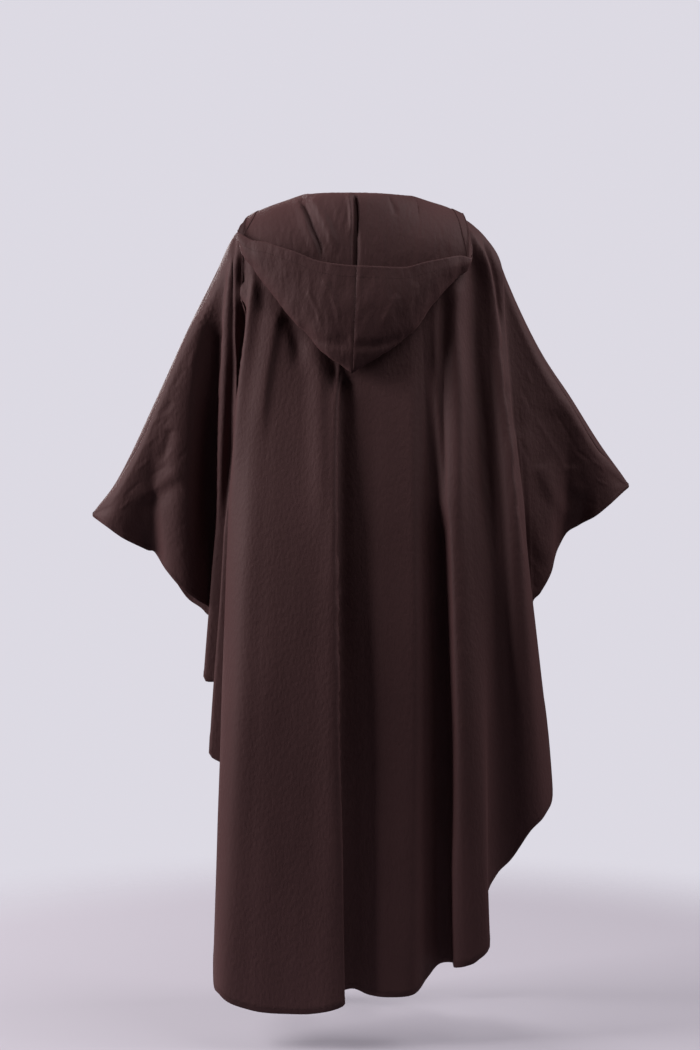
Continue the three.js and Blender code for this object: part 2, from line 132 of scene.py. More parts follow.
# Crepe: darkest and lightest brown; its patches, pebbled weave and crinkles as noise, and
# the bumps of the last two, in metres; and how it shines.
CREPE_DARK = (0.061, 0.0268, 0.0275, 1)
CREPE_LIGHT = (0.088, 0.0400, 0.0415, 1)
MOTTLE = {"scale": 9, "stretch": (1, 1, 0.45), "detail": 3}
PEBBLE = {"scale": 1100, "stretch": (1, 1, 1), "detail": 2}
PEBBLE_BUMP = {"strength": 0.5, "distance": 0.0003}
CRINKLE = {"scale": 190, "stretch": (1, 1, 0.55), "detail": 4}
CRINKLE_BUMP = {"strength": 0.7, "distance": 0.0012}
CREPE_SHINE = {
    "Roughness": 0.68,
    "Specular IOR Level": 0.2,
    "Sheen Weight": 0.1,
    "Sheen Roughness": 0.45,
    "Sheen Tint": (0.62, 0.32, 0.31, 1),
}

# Matt brown sewing thread.
THREAD_LOOK = {
    "Base Color": (0.045, 0.021, 0.021, 1),
    "Roughness": 0.7,
    "Specular IOR Level": 0.2,
}

# Floor, in metres: its height, its rim and the share of it that is solid; its look.
FLOOR_Z = -1.44
FLOOR_RADIUS = 1.6
FLOOR_SOLID_SHARE = 0.6
FLOOR_CORNERS = 96
FLOOR_LOOK = {
    "Base Color": (0.30, 0.285, 0.32, 1),
    "Roughness": 0.8,
    "Emission Color": (0.25, 0.227, 0.265, 1),
}

# Light that comes from all round, and the backdrop.
SURROUND_COLOUR = (0.95, 0.96, 1.0, 1)
SURROUND_STRENGTH = 0.003
BACKDROP_COLOUR = (0.72, 0.70, 0.77, 1)

# Camera, in metres.
CAMERA_PLACE = (-0.014, -3.4, -0.49)
CAMERA_LENS = 66.6
CAMERA_SHIFT = -0.043

# Fineness of the meshes and curves.
BACK_COLUMNS = 400
FRONT_COLUMNS = 200
TURN_ROWS = 12
BACK_FALL_ROWS = 104
FRONT_FALL_ROWS = 110
SPACING_SAMPLES = 4000
HOOD_COLUMNS_A_HALF = 180
HOOD_ROLL_ROWS = 6
HOOD_FALL_ROWS = 104
FACING_ROWS = 8
SEAM_ROWS = 9
CREASE_SAMPLES = 90
CURVE_SAMPLES = 240
HALVINGS = 40
NUDGE = 0.01
LEAST_LENGTH = 1e-9
LEAST_STEP = 1e-8


def table(columns, rows):
    """Named columns of the last values in each row; `place` counts the rows."""
    values = np.array([row[-len(columns):] for row in rows], float)
    made = {column: values[:, i] for i, column in enumerate(columns)}
    made["place"] = np.arange(len(rows), dtype=float)
    return made


# The line that the cloth hangs from, along the left arm, the shoulders and the right arm.
# `depth` and `drop` are how far out and down a panel turns over it.
ARM_LINE = table(["x", "z", "depth", "drop"], [
    (-465, -548, 3, 7),
    (-420, -489, 28, 34),
    (-357, -359, 38, 44),
    (-294, -221, 43, 50),
    (-241, -117, 48, 58),
    (-219, -73, 54, 68),
    (-194, -43, 66, 86),
    (-157, -21, 82, 105),
    (-90, 0, 90, 116),
    (0, 4, 94, 120),
    (90, -3, 90, 116),
    (150, -19, 82, 105),
    (190, -42, 66, 86),
    (215, -74, 54, 68),
    (247, -129, 48, 58),
    (318, -265, 43, 50),
    (371, -345, 38, 44),
    (424, -429, 28, 34),
    (474, -497, 3, 7),
])

# One row for each fold line of a panel, from the left cuff to the right cuff. `top` is where
# it starts: millimetres along the arm line, or degrees round the neck within 90 either way.
# `mid` is half way down and `hem` the bottom; `out` is the distance from the arms' plane.
FOLDS = ["top", "mid_x", "mid_out", "hem_x", "hem_out", "hem_z"]

BACK_FOLDS = table(FOLDS, [
    ("left cuff tip", -465, -463, 3, -460, 3, -556),
    ("left cuff upper", -440, -440, 22, -438, 23, -570),
    ("left cuff lower", -416, -414, 28, -410, 24, -590),
    ("left cuff tack", -378, -374, 27, -371, 1.05, -611),
    ("left tack end", -357, -356, 26, -355, 1.05, -616),
    ("left wing hem", -337, -336, 32, -332, 28, -647),
    ("left wing ridge", -314, -314, 36, -306, 34, -677),
    ("left wing slope", -288, -288, 30, -281, 28, -697),
    ("left wing end", -256, -262, 17, -255, 14, -718),
    ("left underarm", -226, -244, 16, -252, 12, -760),
    ("left strip edge", -208, -241, 34, -268, 22, -834),
    ("left strip turn", -201, -226, 40, -230, 30, -850),
    ("left cascade edge", -194, -228, 50, -258, 47, -955),
    ("left cascade turn", -187, -212, 58, -216, 62, -1020),
    ("left side edge", -178, -227, 98, -245, 106, -1306),
    ("left side round", -154, -200, 143, -230, 154, -1352),
    ("left panel", -122, -160, 154, -180, 166, -1372),
    ("left panel middle", -90, -112, 157, -124, 171, -1377),
    ("left panel inner", -66, -72, 159, -80, 175, -1376),
    ("left pleat ridge", -42, -46, 161, -40, 180, -1368),
    ("centre pleat edge", -24, -31, 156, -22, 177, -1358),
    ("centre pleat turn", -12, -33, 136, -36, 154, -1350),
    ("centre valley", 0, -12, 130, -10, 147, -1341),
    ("centre rise", 18, 14, 134, 18, 153, -1350),
    ("right ridge", 36, 48, 141, 50, 161, -1352),
    ("right ridge end", 60, 90, 141, 92, 158, -1348),
    ("right valley wall", 78, 114, 124, 114, 134, -1328),
    ("right valley", 90, 130, 105, 138, 108, -1309),
    ("right valley turn", 102, 141, 110, 160, 115, -1306),
    ("right pleat edge", 112, 149, 132, 160, 141, -1307),
    ("right pleat ridge", 124, 162, 142, 180, 151, -1303),
    ("right pleat slope", 138, 182, 139, 200, 149, -1294),
    ("right hem corner", 152, 200, 129, 221, 138, -1268),
    ("right trough", 164, 216, 117, 217, 118, -1199),
    ("right trough floor", 174, 232, 109, 236, 98, -1160),
    ("right round hem", 184, 246, 109, 262, 92, -1134),
    ("right side ridge", 195, 261, 118, 292, 100, -1087),
    ("right side round", 206, 277, 113, 318, 92, -1060),
    ("right side edge", 217, 286, 86, 334, 62, -1020),
    ("right side turn", 228, 280, 62, 326, 34, -900),
    ("right underarm", 248, 281, 56, 304, 36, -770),
    ("right wing start", 276, 293, 54, 302, 40, -706),
    ("right wing slope", 302, 310, 50, 316, 40, -684),
    ("right wing ridge", 328, 332, 44, 334, 36, -652),
    ("right wing hem", 348, 349, 36, 345, 22, -614),
    ("right tack end", 368, 368, 27, 365, 1.05, -582),
    ("right cuff tack", 392, 390, 27, 387, 1.05, -568),
    ("right cuff lower", 420, 418, 26, 415, 23, -551),
    ("right cuff upper", 448, 447, 20, 444, 22, -527),
    ("right cuff tip", 474, 473, 3, 470, 3, -505),
])

FRONT_FOLDS = table(FOLDS, [
    ("left cuff tip", -465, -463, 3, -460, 3, -556),
    ("left cuff upper", -440, -440, 22, -438, 23, -570),
    ("left cuff lower", -416, -414, 28, -410, 24, -590),
    ("left cuff tack", -378, -374, 27, -371, 1.05, -611),
    ("left tack end", -357, -356, 26, -355, 1.05, -616),
    ("left wing hem", -337, -336, 32, -330, 26, -655),
    ("left wing ridge", -308, -310, 34, -302, 30, -697),
    ("left wing slope", -276, -278, 26, -270, 24, -722),
    ("left underarm", -238, -250, 20, -246, 18, -770),
    ("left side turn", -214, -238, 38, -238, 30, -1010),
    ("left side edge", -190, -232, 78, -232, 78, -1290),
    ("left side round", -160, -196, 112, -200, 122, -1342),
    ("left panel", -124, -150, 128, -156, 142, -1360),
    ("left valley", -90, -112, 118, -118, 122, -1357),
    ("left ridge", -60, -72, 142, -78, 160, -1365),
    ("left inner slope", -30, -34, 146, -34, 164, -1367),
    ("centre valley", 0, -2, 132, 2, 138, -1362),
    ("right inner slope", 30, 30, 147, 36, 166, -1366),
    ("right ridge", 60, 68, 142, 76, 156, -1362),
    ("right valley", 90, 112, 116, 116, 116, -1352),
    ("right panel", 124, 150, 124, 152, 136, -1344),
    ("right side round", 160, 196, 106, 188, 112, -1312),
    ("right side edge", 190, 236, 74, 212, 66, -1230),
    ("right side turn", 214, 252, 38, 246, 28, -980),
    ("right underarm", 240, 264, 20, 280, 16, -760),
    ("right wing slope", 276, 288, 24, 296, 20, -702),
    ("right wing ridge", 308, 312, 32, 318, 28, -680),
    ("right wing hem", 338, 340, 30, 338, 24, -640),
    ("right tack end", 368, 368, 27, 365, 1.05, -582),
    ("right cuff tack", 392, 390, 27, 387, 1.05, -568),
    ("right cuff lower", 420, 418, 26, 415, 23, -551),
    ("right cuff upper", 448, 447, 20, 444, 22, -527),
    ("right cuff tip", 474, 473, 3, 470, 3, -505),
])

# The hood, by degrees round the neck seam from the centre back: the fold under the pouch,
# the face edge, and how far the outer layer stands off the inner one.
HOOD = ["around", "fold_x", "fold_drop", "edge_x", "edge_drop", "puff"]

HOOD_LEFT = table(HOOD, [
    (0, -10, 305, -3, 124, 34),
    (15, -46, 284, -46, 121, 34),
    (30, -84, 250, -86, 113, 31),
    (45, -120, 208, -124, 98, 26),
    (58, -150, 158, -154, 80, 20),
    (68, -174, 114, -178, 66, 15),
    (77, -195, 68, -195, 42, 13),
    (84, -192, 25, -192, 23, 5),
    (90, -184, 0, -184, 0, 1),
    (110, -162, 30, -162, 30, 1),
    (130, -118, 54, -118, 54, 1),
    (155, -58, 46, -58, 46, 1),
    (180, -4, 9, -4, 9, 1),
])

HOOD_RIGHT = table(HOOD, [
    (0, -10, 305, -3, 124, 34),
    (15, 33, 279, 34, 125, 34),
    (30, 77, 250, 74, 126, 31),
    (45, 112, 212, 112, 118, 26),
    (58, 144, 160, 146, 104, 20),
    (68, 168, 128, 171, 92, 12),
    (77, 187, 100, 190, 84, 8),
    (84, 188, 48, 188, 46, 3),
    (90, 177, 0, 177, 0, 1),
    (110, 158, 30, 158, 30, 1),
    (130, 116, 54, 116, 54, 1),
    (155, 58, 46, 58, 46, 1),
    (180, 4, 9, 4, 9, 1),
])

BACK = {
    "side": -1, "folds": BACK_FOLDS, "neck_depth": NECK_BACK_DEPTH,
    "neck_drop": NECK_BACK_DROP, "columns": BACK_COLUMNS, "fall_rows": BACK_FALL_ROWS,
}
FRONT = {
    "side": 1, "folds": FRONT_FOLDS, "neck_depth": NECK_FRONT_DEPTH,
    "neck_drop": NECK_FRONT_DROP, "columns": FRONT_COLUMNS, "fall_rows": FRONT_FALL_ROWS,
}


def hermite(start, end, slope_start, slope_end, share):
    """Value between two values with the given slopes at them."""
    square = share * share
    cube = square * share
    from_start = start * (2 * cube - 3 * square + 1) + slope_start * (cube - 2 * square + share)
    return from_start + end * (3 * square - 2 * cube) + slope_end * (cube - square)


def smooth(rows, key, column, at):
    """Smooth curve through one column of a table, level where its values turn."""
    keys = rows[key]
    values = rows[column]
    last = len(keys) - 1
    before = np.maximum(np.arange(last + 1) - 1, 0)
    after = np.minimum(np.arange(last + 1) + 1, last)
    slope = (values[after] - values[before]) / (keys[after] - keys[before])
    turns = (values[after] - values) * (values - values[before]) <= 0
    turns[[0, last]] = False
    slope[turns] = 0
    start = np.clip(np.searchsorted(keys, at, side="left") - 1, 0, last - 1)
    span = keys[start + 1] - keys[start]
    share = (at - keys[start]) / span
    leaving = slope[start] * span
    arriving = slope[start + 1] * span
    return hermite(values[start], values[start + 1], leaving, arriving, share)


def points(x, y, z):
    """Coordinates as an array whose last side is x, y and z."""
    return np.stack(np.broadcast_arrays(x, y, z), axis=-1)


def unit(vectors):
    """The same directions at length one."""
    lengths = np.linalg.norm(vectors, axis=-1, keepdims=True)
    return vectors / np.maximum(lengths, LEAST_LENGTH)


def top_edge(panel, top):
    """Points of a panel's top edge: the neckline, then the arm line."""
    top = np.asarray(top, float)
    turn = np.radians(np.clip(top, -NECK_ENDS, NECK_ENDS))
    on_neck = np.abs(top) < NECK_ENDS
    x = np.where(on_neck, NECK_HALF_WIDTH * np.sin(turn), top)
    in_middle = np.where(on_neck, np.cos(turn), 0)
    z = smooth(ARM_LINE, "x", "z", x) - panel["neck_drop"] * in_middle
    return points(x, panel["side"] * (SEAM_GAP / 2 + panel["neck_depth"] * in_middle), z)


def fold_lines(panel, place):
    """The fold lines at places across a panel: their tops, turns, middles, hems and drops."""
    folds = panel["folds"]
    side = panel["side"]
    top = top_edge(panel, np.interp(place, folds["place"], folds["top"]))

    def column(name):
        return smooth(folds, "place", name, place)

    hem = points(column("hem_x"), side * column("hem_out"), column("hem_z"))
    most_drop = MOST_TURN_SHARE * (top[..., 2] - hem[..., 2])
    drop = np.minimum(smooth(ARM_LINE, "x", "drop", top[..., 0]), most_drop)
    middle = points(column("mid_x"), side * column("mid_out"), 0)
    turn_x = top[..., 0] + TURN_LEAN_SHARE * (middle[..., 0] - top[..., 0])
    turn_y = side * smooth(ARM_LINE, "x", "depth", top[..., 0])
    turn = points(turn_x, turn_y, top[..., 2] - drop)
    return top, turn, middle, hem, drop


def panel_points(panel, place, below):
    """Points of a panel by their place across it and distance below its top edge."""
    place, below = np.broadcast_arrays(np.asarray(place, float), np.asarray(below, float))
    top, turn, middle, hem, drop = fold_lines(panel, place)
    out = np.sin(np.arccos(np.clip(1 - below / drop, -1, 1)))[..., None]
    turning = top + (turn - top) * out
    share = ((below - drop) / (turn[..., 2] - hem[..., 2]))[..., None]
    through = (hem - turn) / 2
    start = points((middle - turn)[..., 0] / 2, 0, 0)
    upper = hermite(turn, middle, start, through, share * 2)
    lower = hermite(middle, hem, through, hem - middle, share * 2 - 1)
    made = np.where((below < drop)[..., None], turning, np.where(share < 0.5, upper, lower))
    made[..., 2] = top[..., 2] - below
    return made


def outward(panel, place, below):
    """Outward directions of a panel at places across it and distances below its top edge."""
    last = panel["folds"]["place"][-1]
    left = panel_points(panel, np.maximum(place - NUDGE, 0), below)
    right = panel_points(panel, np.minimum(place + NUDGE, last), below)
    above = panel_points(panel, place, np.maximum(below - NUDGE, 0))
    beneath = panel_points(panel, place, below + NUDGE)
    return unit(np.cross(right - left, beneath - above)) * panel["side"]


def even_places(panel):
    """Places across a panel that lie evenly along its middle and its hem."""
    last = panel["folds"]["place"][-1]
    places = np.linspace(0, last, SPACING_SAMPLES)
    top, turn, middle, hem, _ = fold_lines(panel, places)
    levels = [points(level[:, 0], level[:, 1], 0) for level in (middle, hem)] + [top]
    steps = np.max([np.linalg.norm(np.diff(level, axis=0), axis=1) for level in levels], axis=0)
    along = np.concatenate(([0], np.cumsum(steps)))
    return np.interp(np.linspace(0, along[-1], panel["columns"]), along, places)


# The seam of the shoulders and arms lies behind the arm line: distance below the top edge.
SHOULDER_SEAM = table(["x", "below"], [
    (-465, 0),
    (-416, 3),
    (-385, 14),
    (-350, 18),
    (-310, 16),
    (-262, 10),
    (-219, 8),
    (-157, 5),
    (-92, 0),
    (0, 0),
    (92, 0),
    (150, 5),
    (215, 8),
    (247, 9),
    (318, 10),
    (350, 12),
    (385, 17),
    (415, 17),
    (440, 5),
    (474, 0),
])


def panel_grid(panel):
    """Grid of points of a whole panel, columns first, with the rows from the top edge down."""
    places = even_places(panel)
    top, _, _, hem, drop = fold_lines(panel, places)
    tops = np.interp(places, panel["folds"]["place"], panel["folds"]["top"])
    on_neck = np.abs(tops) < NECK_ENDS
    seam = np.where(on_neck, 0, smooth(SHOULDER_SEAM, "x", "below", top[:, 0]))
    start = seam + SEAM_GAP if panel is BACK else np.zeros(len(places))
    first = np.arccos(1 - np.minimum(start / drop, 1))
    turning = np.linspace(0, 1, TURN_ROWS, endpoint=False)
    turns = first[:, None] + (math.pi / 2 - first[:, None]) * turning
    falling = np.linspace(0, 1, panel["fall_rows"] + 1)
    fall = top[:, 2] - hem[:, 2] - drop
    below = np.hstack([
        drop[:, None] * (1 - np.cos(turns)),
        drop[:, None] + fall[:, None] * falling,
    ])
    grid = panel_points(panel, places[:, None], below)
    if panel is BACK:
        return grid, below
    # The front goes on over the arms to the seam, and stands a little above the neckline.
    over = seam[:, None] * np.linspace(1, 0, SEAM_ROWS, endpoint=False) ** 2
    back_places = np.interp(tops, BACK_FOLDS["top"], BACK_FOLDS["place"])
    strip = panel_points(BACK, back_places[:, None], over)
    lip = np.linspace(-NECK_LIP, 0, SEAM_ROWS, endpoint=False)[:, None] * [0, 0, -1]
    strip[on_neck] = grid[on_neck][:, :1] + lip
    return np.concatenate([strip, grid], axis=1), np.concatenate([-over, below], axis=1)


def grid_normals(grid, sign):
    """Outward directions at a grid of points, from their neighbours."""
    return unit(np.cross(np.gradient(grid, axis=0), np.gradient(grid, axis=1))) * sign


# Creases placed one by one, as they are seen from behind: a name, how far each spreads to its
# left and its right, its height out of the cloth, negative for a trough, and its path of x
# and z from the top.
BACK_CREASES = [
    # left shoulder and strip
    ("strip edge", 4, 12, 6, [
        (-213, -96), (-221, -153), (-229, -235), (-235, -340), (-241, -490), (-246, -636),
    ]),
    ("wing hollow beside the strip", 18, 10, -6, [
        (-240, -215), (-247, -290), (-256, -388), (-260, -500), (-262, -610),
    ]),
    ("under the hood corner", 9, 9, -4, [(-195, -100), (-195, -138), (-201, -165)]),
    ("panel edge", 4, 14, 6, [
        (-177, -139), (-183, -179), (-190, -232), (-205, -362), (-215, -480), (-225, -694),
    ]),
    ("strip hollow", 9, 6, -14, [
        (-198, -175), (-201, -230), (-209, -290), (-216, -388), (-222, -470), (-230, -590),
    ]),
    ("hollow under the hood left", 9, 10, -2.5, [
        (-173, -135), (-167, -165), (-166, -190), (-164, -215),
    ]),
    ("broad ridge left", 22, 8, 5, [(-136, -200), (-146, -257), (-158, -335), (-166, -440)]),
    ("hollow under the pouch left", 10, 13, -5, [
        (-127, -200), (-110, -236), (-104, -265), (-103, -312),
    ]),
    ("broad ridge centre left", 20, 14, 5, [
        (-84, -240), (-67, -296), (-65, -380), (-62, -490), (-58, -640),
    ]),
    ("hollow under the pouch tip", 6, 6, -4, [(-52, -270), (-40, -296), (-41, -325), (-44, -350)]),
    ("pleat ridge", 12, 4, 4, [(-36, -300), (-37, -400), (-38, -520), (-40, -700)]),
    ("pleat hollow", 4.5, 17, -9, [
        (-20, -305), (-26, -340), (-31, -420), (-32, -540), (-31, -800), (-33, -1330),
    ]),
    # right of the centre
    ("hollow under the hood right", 9, 8, -8, [
        (151, -160), (146, -227), (145, -300), (144, -391), (143, -490), (143, -600),
    ]),
    ("right valley hollow", 24, 11, -9, [(141, -520), (146, -700), (152, -900), (157, -1250)]),
    ("right ridge", 13, 12, 7, [(170, -130), (166, -227), (170, -325), (169, -490), (166, -640)]),
    ("right ridge line inner", 3, 3, 0.7, [
        (163, -220), (164, -400), (163, -600), (166, -900), (167, -1200),
    ]),
    ("right ridge line outer", 3, 3, 0.7, [
        (173, -220), (174, -400), (174, -600), (177, -900), (178, -1200),
    ]),
    ("hollow beside the ridge", 16, 14, -10, [
        (193, -75), (203, -145), (201, -244), (204, -310), (213, -408), (218, -540), (228, -660),
    ]),
    ("body edge", 14, 4, 8, [
        (180, -50), (198, -76), (216, -106), (227, -138), (236, -200), (245, -310), (258, -424),
        (268, -540), (285, -677),
    ]),
    ("shoulder step", 3, 6, -6, [(213, -66), (223, -105), (231, -140), (239, -196), (243, -250)]),
    ("step below the body edge", 3, 7, -5, [(249, -310), (263, -424), (274, -540), (290, -650)]),
    # left wing
    ("left wing ridge", 42, 16, 9, [
        (-258, -170), (-279, -252), (-291, -325), (-296, -403), (-300, -470), (-300, -540),
        (-298, -610), (-296, -720),
    ]),
    ("left wing hollow", 15, 16, -4, [(-256, -330), (-258, -430), (-260, -540), (-268, -650)]),
    ("left wing dent", 8, 9, -2, [(-322, -400), (-330, -430), (-341, -462)]),
    ("left wing short dent", 6, 6, -1, [(-320, -352), (-332, -368), (-346, -380)]),
    ("left wing drag ridge", 13, 13, 2.4, [
        (-305, -470), (-340, -496), (-368, -514), (-392, -540),
    ]),
    ("left wing drag hollow", 14, 16, -2.2, [
        (-303, -492), (-343, -516), (-368, -532), (-392, -560),
    ]),
    # right wing
    ("right wing hollow", 24, 34, -2, [
        (340, -360), (330, -420), (322, -480), (330, -525), (355, -550),
    ]),
    ("right wing fold", 12, 18, 2.5, [(310, -460), (330, -502), (356, -542), (373, -563)]),
    ("right wing broad ridge", 18, 20, 3, [
        (270, -390), (280, -470), (290, -540), (314, -610), (328, -640),
    ]),
    ("right wing upper ridge", 12, 12, 1.6, [(362, -340), (378, -378), (392, -425)]),
    ("right wing cuff ridge", 11, 11, 1.8, [(370, -462), (374, -499), (400, -520)]),
]

# Creases of the front, which hang from the shoulders, the bust and the arms in the same way.
FRONT_CREASES = [
    ("left shoulder ridge", 14, 10, 5, [
        (-165, -90), (-178, -170), (-188, -280), (-196, -420), (-206, -600),
    ]),
    ("left shoulder hollow", 10, 12, -7, [
        (-196, -110), (-205, -200), (-212, -320), (-222, -480), (-230, -650),
    ]),
    ("left chest ridge", 18, 14, 5, [
        (-95, -150), (-100, -250), (-96, -380), (-90, -560), (-84, -760),
    ]),
    ("left chest hollow", 12, 10, -6, [(-130, -180), (-136, -300), (-132, -440), (-126, -620)]),
    ("hollow under the neck", 16, 14, -3, [(-20, -110), (-14, -200), (-8, -320), (-4, -480)]),
    ("centre left ridge", 14, 10, 4, [(-44, -260), (-42, -400), (-40, -600), (-36, -820)]),
    ("centre right ridge", 10, 14, 4, [(36, -240), (38, -400), (40, -600), (44, -860)]),
    ("right chest ridge", 16, 14, 5, [(92, -150), (98, -260), (100, -420), (96, -640)]),
    ("right chest hollow", 10, 12, -6, [(126, -160), (132, -300), (130, -460), (124, -660)]),
    ("right shoulder ridge", 12, 12, 5, [
        (162, -90), (172, -180), (184, -300), (196, -460), (212, -660),
    ]),
    ("right shoulder hollow", 10, 12, -7, [
        (194, -110), (206, -210), (218, -330), (228, -480), (240, -640),
    ]),
    ("left wing ridge", 22, 16, 5, [
        (-262, -180), (-282, -280), (-296, -400), (-306, -520), (-312, -640),
    ]),
    ("left wing hollow", 20, 18, -5, [(-256, -300), (-262, -430), (-266, -560), (-268, -680)]),
    ("left wing drag", 14, 14, -3, [(-300, -480), (-340, -512), (-372, -540), (-398, -566)]),
    ("right wing ridge", 18, 20, 4, [
        (268, -220), (288, -320), (300, -430), (312, -540), (324, -640),
    ]),
    ("right wing hollow", 20, 24, -5, [(262, -330), (272, -440), (280, -560), (290, -680)]),
    ("right wing drag", 14, 14, -3, [(310, -450), (344, -484), (376, -516), (404, -538)]),
]

# Short fine wrinkles of the wings: both ends, as they are seen from behind.
FINE_WRINKLES = table(["x0", "z0", "x1", "z1"], [
    (-338, -386, -361, -407),
    (-349, -413, -373, -438),
    (-323, -382, -343, -403),
    (-316, -434, -335, -459),
    (-333, -466, -361, -483),
    (-361, -455, -389, -479),
    (-295, -431, -312, -459),
    (-343, -500, -375, -518),
    (-378, -493, -406, -521),
    (-395, -525, -416, -545),
    (-298, -559, -316, -580),
    (-297, -603, -312, -622),
    (-300, -300, -318, -330),
    (-282, -270, -292, -300),
    (281, -330, 302, -377),
    (305, -382, 338, -434),
    (342, -374, 382, -443),
    (330, -420, 368, -485),
    (276, -420, 298, -460),
    (290, -615, 324, -667),
    (295, -658, 312, -681),
    (402, -455, 430, -473),
    (376, -438, 406, -459),
    (413, -490, 437, -500),
    (394, -525, 416, -535),
    (290, -300, 300, -330),
])

# Creases of the hood's inner layer, which falls from the neck, and of its outer one.
HOOD_FALL_CREASES = [
    ("oblique step", 12, 3, 4, [(-112, 2), (-94, -33), (-86, -59), (-75, -83), (-58, -116)]),
    ("oblique hollow", 5, 5, -3, [(-95, -8), (-79, -59), (-65, -96), (-56, -125)]),
    ("oblique ridge", 8, 9, 4, [(-82, -2), (-65, -33), (-50, -67), (-34, -112)]),
    ("centre pinch", 4, 5, -9, [(-8, 20), (-5, -20), (-5, -60), (-6, -120), (-8, -170)]),
    ("flap of the pinch", 4, 3, 4, [(-18, 6), (-13, -20), (-11, -50), (-11, -80)]),
    ("right dimple", 5, 5, -2, [(52, 0), (60, -22), (68, -44)]),
]
HOOD_RISE_CREASES = [
    ("cross crease left", 6, 9, -2.5, [(-108, -228), (-74, -254), (-40, -262), (0, -266)]),
    ("cross crease right", 6, 9, -2.5, [(-10, -266), (30, -264), (70, -254), (104, -232)]),
    ("dimple left of the seam", 5, 5, -1.2, [(-34, -246), (-24, -252), (-12, -256)]),
    ("long drag left", 4, 4, 1.4, [(-60, -150), (-40, -190), (-30, -235)]),
    ("short drag left", 3, 3, 1.2, [(-86, -170), (-70, -205), (-62, -232)]),
    ("long drag right", 4, 4, 1.2, [(66, -176), (52, -206), (36, -236)]),
    ("short drag right", 3, 3, 1.0, [(96, -172), (84, -198), (70, -220)]),
]


def path_points(path):
    """Evenly shared points along a smooth line through a path's points."""
    path = np.array(path, float)
    if len(path) < 3:
        return path[0] + (path[-1] - path[0]) * np.linspace(0, 1, CREASE_SAMPLES)[:, None]
    return curve_through(path, CREASE_SAMPLES)


def crease_lift(seen, left, right, height, path):
    """Height that one crease lifts points by, from their places seen from behind."""
    line = path_points(path)
    reach = CREASE_REACH * max(left, right)
    near = np.all((seen > line.min(axis=0) - reach) & (seen < line.max(axis=0) + reach), axis=-1)
    lift = np.zeros(seen.shape[:-1])
    if not near.any():
        return lift
    offsets = seen[near][:, None, :] - line[None, :, :]
    apart = np.linalg.norm(offsets, axis=2)
    closest = apart.argmin(axis=1)
    which = np.arange(len(closest))
    heading = np.gradient(line, axis=0)[closest]
    offset = offsets[which, closest]
    side = heading[:, 0] * offset[:, 1] - heading[:, 1] * offset[:, 0]
    spread = np.where(side < 0, left, right)
    share = closest / (CREASE_SAMPLES - 1)
    fade = smooth_step(share / FADE_IN) * smooth_step((1 - share) / FADE_OUT)
    lift[near] = height * fade * np.exp(-((apart[which, closest] / spread) ** 2))
    return lift


def smooth_step(share):
    """Eased rise from 0 to 1."""
    share = np.clip(share, 0, 1)
    return share * share * (3 - 2 * share)


def creases_lift(grid, creases):
    """Height that creases lift each point of a grid by."""
    seen = grid[..., [0, 2]]
    lift = np.zeros(seen.shape[:-1])
    for _, left, right, height, path in creases:
        lift += crease_lift(seen, left, right, height, path)
    return lift


def fine_wrinkles(shift):
    """The short wrinkles of the wings as creases, ridges and troughs by turns, moved down."""
    made = []
    for i in range(len(FINE_WRINKLES["place"])):
        ends = [
            (FINE_WRINKLES["x0"][i], FINE_WRINKLES["z0"][i] - shift),
            (FINE_WRINKLES["x1"][i], FINE_WRINKLES["z1"][i] - shift),
        ]
        height = FINE_WRINKLE_HEIGHT * (1 if i % 2 else -1)
        made.append(("wrinkle", FINE_WRINKLE_SPREAD, FINE_WRINKLE_SPREAD, height, ends))
    return made


def unevenness(grid, sizes, height, seed):
    """Gentle waves over a grid, of the given sizes along x, y and z."""
    shift = Vector((seed, 2 * seed, 3 * seed))
    flat = grid.reshape(-1, 3) / np.array(sizes)
    waves = [noise.noise(Vector(place) + shift) for place in flat]
    return height * np.array(waves).reshape(grid.shape[:-1])


def add_object(name, data):
    """New object in the scene."""
    made = bpy.data.objects.new(name, data)
    bpy.context.scene.collection.objects.link(made)
    return made


def mesh_object(name, vertices, faces):
    """Object in the scene with a mesh that is given in millimetres."""
    mesh = bpy.data.meshes.new(name)
    mesh.from_pydata((vertices * MM).tolist(), [], faces)
    mesh.validate()
    return add_object(name, mesh)


